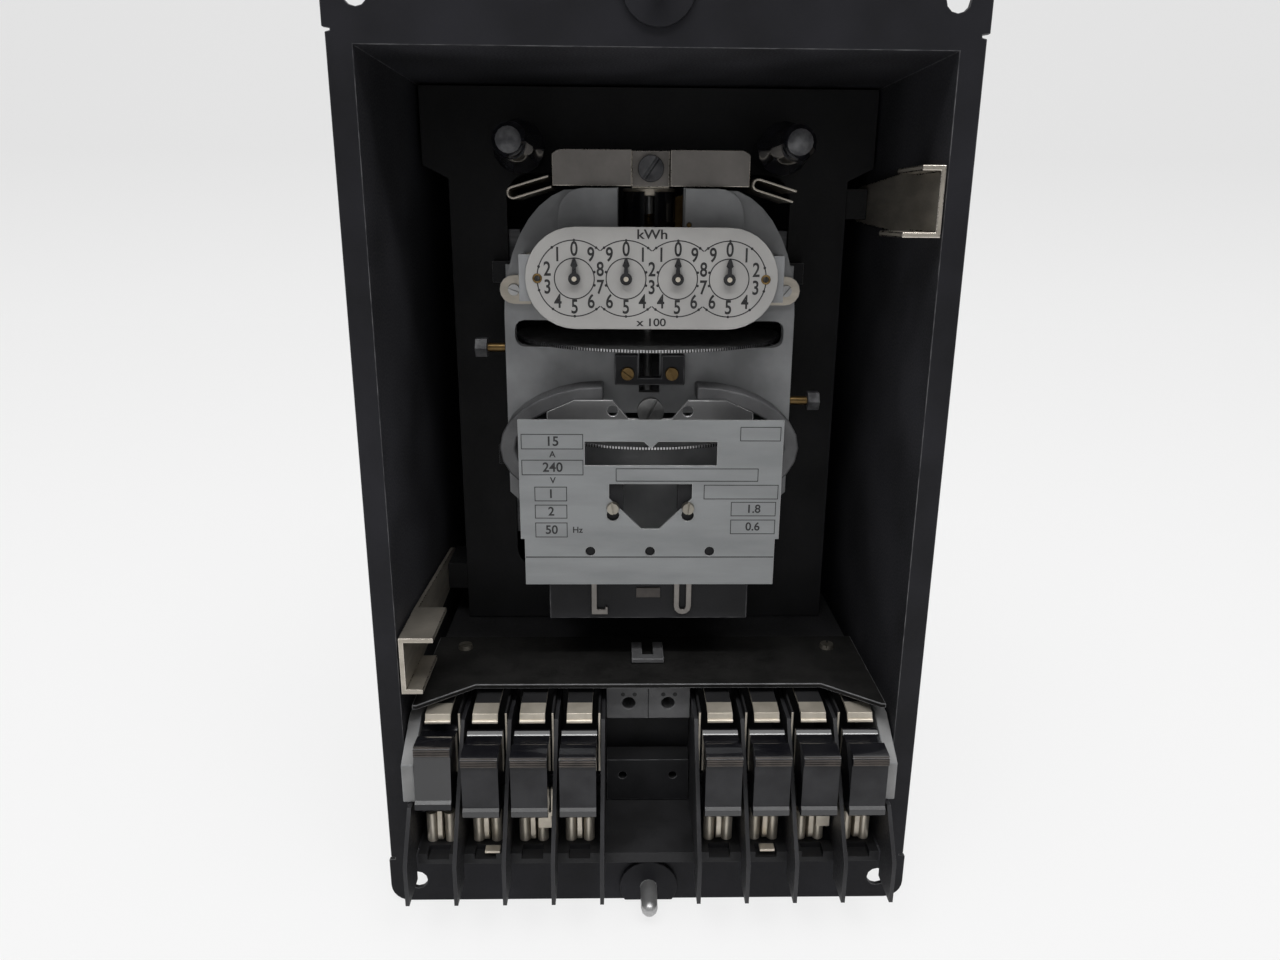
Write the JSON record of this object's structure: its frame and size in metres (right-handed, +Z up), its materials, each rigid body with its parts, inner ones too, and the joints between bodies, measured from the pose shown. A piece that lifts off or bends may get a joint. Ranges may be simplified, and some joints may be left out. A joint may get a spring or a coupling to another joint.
{
  "type": "analog dial electric meter",
  "caption": "Switchboard electric meter with dial register and twin discs in an open semi-flush case, above a row of hinged knife test switches.",
  "frame": {"origin": "centre of the case opening on the plane where the rear of the front flange meets the panel", "axes": "+Z up, +Y into the case and through the panel, +X to the right seen from the front"},
  "size_m": [0.1696, 0.1921, 0.28],
  "materials": {
    "black_paint": "satin",
    "grey_casting": "satin",
    "nickel": "nickel plated",
    "steel": "satin",
    "brass": "satin",
    "aluminium": "satin",
    "dial_white": "matte",
    "pointer_black": "satin",
    "bakelite": "gloss",
    "grey_moulding": "satin",
    "magnet_grey": "satin",
    "coil_tape": "matte"
  },
  "bodies": {
    "housing": {"adjuster_block": "bakelite", "barrier_fins": "bakelite", "barrier_shelf": "bakelite", "brake_magnet_left": "magnet_grey", "brake_magnet_right": "magnet_grey", "case_shell": "black_paint", "chassis_frame": "black_paint", "contact_block": "grey_moulding", "cover_stud_lower": "steel", "cover_stud_upper": "steel", "dial_plate": "dial_white", "element_core": "steel", "end_cheek_left": "grey_moulding", "end_cheek_right": "grey_moulding", "front_block": "bakelite", "keeper_plate": "aluminium", "keeper_screw": "steel", "lag_hook": "nickel", "lag_loop": "nickel", "lower_bearing_screw": "steel", "lower_coil": "coil_tape", "lower_contact_block": "bakelite", "meter_frame": "grey_casting", "nameplate": "aluminium", "nameplate_carrier": "grey_moulding", "register_frame": "nickel", "shelf_clip": "grey_moulding", "side_adjuster_left": "brass", "side_adjuster_right": "brass", "spring_clip_left": "nickel", "spring_clip_right": "nickel", "support_pillar_left": "bakelite", "support_pillar_right": "bakelite", "switch_base": "bakelite", "terminal_block": "bakelite", "upper_bearing_bracket": "nickel", "upper_bearing_collar": "steel", "upper_bearing_screw": "steel", "upper_coil": "coil_tape"},
    "rotor": {"rotor_shaft": "steel", "upper_disc": "aluminium", "lower_disc": "aluminium"},
    "worm_wheel": {"worm_wheel": "brass"},
    "idler": {"idler_arbor": "brass"},
    "dial_1": {"dial_arbor_1": "pointer_black"},
    "dial_2": {"dial_arbor_2": "pointer_black"},
    "dial_3": {"dial_arbor_3": "pointer_black"},
    "dial_4": {"dial_arbor_4": "pointer_black"},
    "latch_upper": {"latch_arm_upper": "nickel"},
    "latch_lower": {"latch_arm_lower": "nickel"},
    "switch_1": {"switch_1": "bakelite"},
    "switch_2": {"switch_2": "bakelite"},
    "switch_3": {"switch_3": "bakelite"},
    "switch_4": {"switch_4": "bakelite"},
    "switch_5": {"switch_5": "bakelite"},
    "switch_6": {"switch_6": "bakelite"},
    "switch_7": {"switch_7": "bakelite"},
    "switch_8": {"switch_8": "bakelite"}
  },
  "joints": [
    {"name": "rotor_spin", "type": "hinge", "parent": "housing", "child": "rotor", "pos_m": [0, 0.0684, 0], "axis": [0, 0, 1], "continuous": true},
    {"name": "worm_wheel_spin", "type": "hinge", "parent": "housing", "child": "worm_wheel", "pos_m": [0.0119, 0.0684, 0.076], "axis": [0, 1, 0], "continuous": true},
    {"name": "idler_spin", "type": "hinge", "parent": "housing", "child": "idler", "pos_m": [0.023, 0.0684, 0.0734], "axis": [0, 1, 0], "continuous": true},
    {"name": "dial_1_spin", "type": "hinge", "parent": "housing", "child": "dial_1", "pos_m": [-0.02355, 0.0684, 0.0603], "axis": [0, 1, 0], "continuous": true},
    {"name": "dial_2_spin", "type": "hinge", "parent": "housing", "child": "dial_2", "pos_m": [-0.00785, 0.0684, 0.0603], "axis": [0, 1, 0], "continuous": true},
    {"name": "dial_3_spin", "type": "hinge", "parent": "housing", "child": "dial_3", "pos_m": [0.00785, 0.0684, 0.0603], "axis": [0, 1, 0], "continuous": true},
    {"name": "dial_4_spin", "type": "hinge", "parent": "housing", "child": "dial_4", "pos_m": [0.02355, 0.0684, 0.0603], "axis": [0, 1, 0], "continuous": true},
    {"name": "switch_1_hinge", "type": "hinge", "parent": "housing", "child": "switch_1", "pos_m": [-0.06705, -0.0016, -0.1125], "axis": [1, 0, 0], "range_deg": [0, 92]},
    {"name": "switch_2_hinge", "type": "hinge", "parent": "housing", "child": "switch_2", "pos_m": [-0.05215, -0.0016, -0.1125], "axis": [1, 0, 0], "range_deg": [0, 85]},
    {"name": "switch_3_hinge", "type": "hinge", "parent": "housing", "child": "switch_3", "pos_m": [-0.03725, -0.0016, -0.1125], "axis": [1, 0, 0], "range_deg": [0, 85]},
    {"name": "switch_4_hinge", "type": "hinge", "parent": "housing", "child": "switch_4", "pos_m": [-0.02235, -0.0016, -0.1125], "axis": [1, 0, 0], "range_deg": [0, 85]},
    {"name": "switch_5_hinge", "type": "hinge", "parent": "housing", "child": "switch_5", "pos_m": [0.02235, -0.0016, -0.1125], "axis": [1, 0, 0], "range_deg": [0, 85]},
    {"name": "switch_6_hinge", "type": "hinge", "parent": "housing", "child": "switch_6", "pos_m": [0.03725, -0.0016, -0.1125], "axis": [1, 0, 0], "range_deg": [0, 85]},
    {"name": "switch_7_hinge", "type": "hinge", "parent": "housing", "child": "switch_7", "pos_m": [0.05215, -0.0016, -0.1125], "axis": [1, 0, 0], "range_deg": [0, 85]},
    {"name": "switch_8_hinge", "type": "hinge", "parent": "housing", "child": "switch_8", "pos_m": [0.06705, -0.0016, -0.1125], "axis": [1, 0, 0], "range_deg": [0, 85]},
    {"name": "latch_upper_pivot", "type": "hinge", "parent": "housing", "child": "latch_upper", "pos_m": [0.07575, 0.084, 0.083], "axis": [1, 0, 0], "range_deg": [0, 60]},
    {"name": "latch_lower_pivot", "type": "hinge", "parent": "housing", "child": "latch_lower", "pos_m": [-0.07575, 0.084, -0.0535], "axis": [-1, 0, 0], "range_deg": [0, 60]}
  ],
  "couplings": [
    {"joint": "worm_wheel_spin", "follows": "rotor_spin", "ratio": 0.02},
    {"joint": "idler_spin", "follows": "rotor_spin", "ratio": -0.0022222},
    {"joint": "dial_4_spin", "follows": "rotor_spin", "ratio": 0.00022222},
    {"joint": "dial_3_spin", "follows": "rotor_spin", "ratio": -0.000022222},
    {"joint": "dial_2_spin", "follows": "rotor_spin", "ratio": 0.0000022222},
    {"joint": "dial_1_spin", "follows": "rotor_spin", "ratio": -0.00000022222}
  ]
}
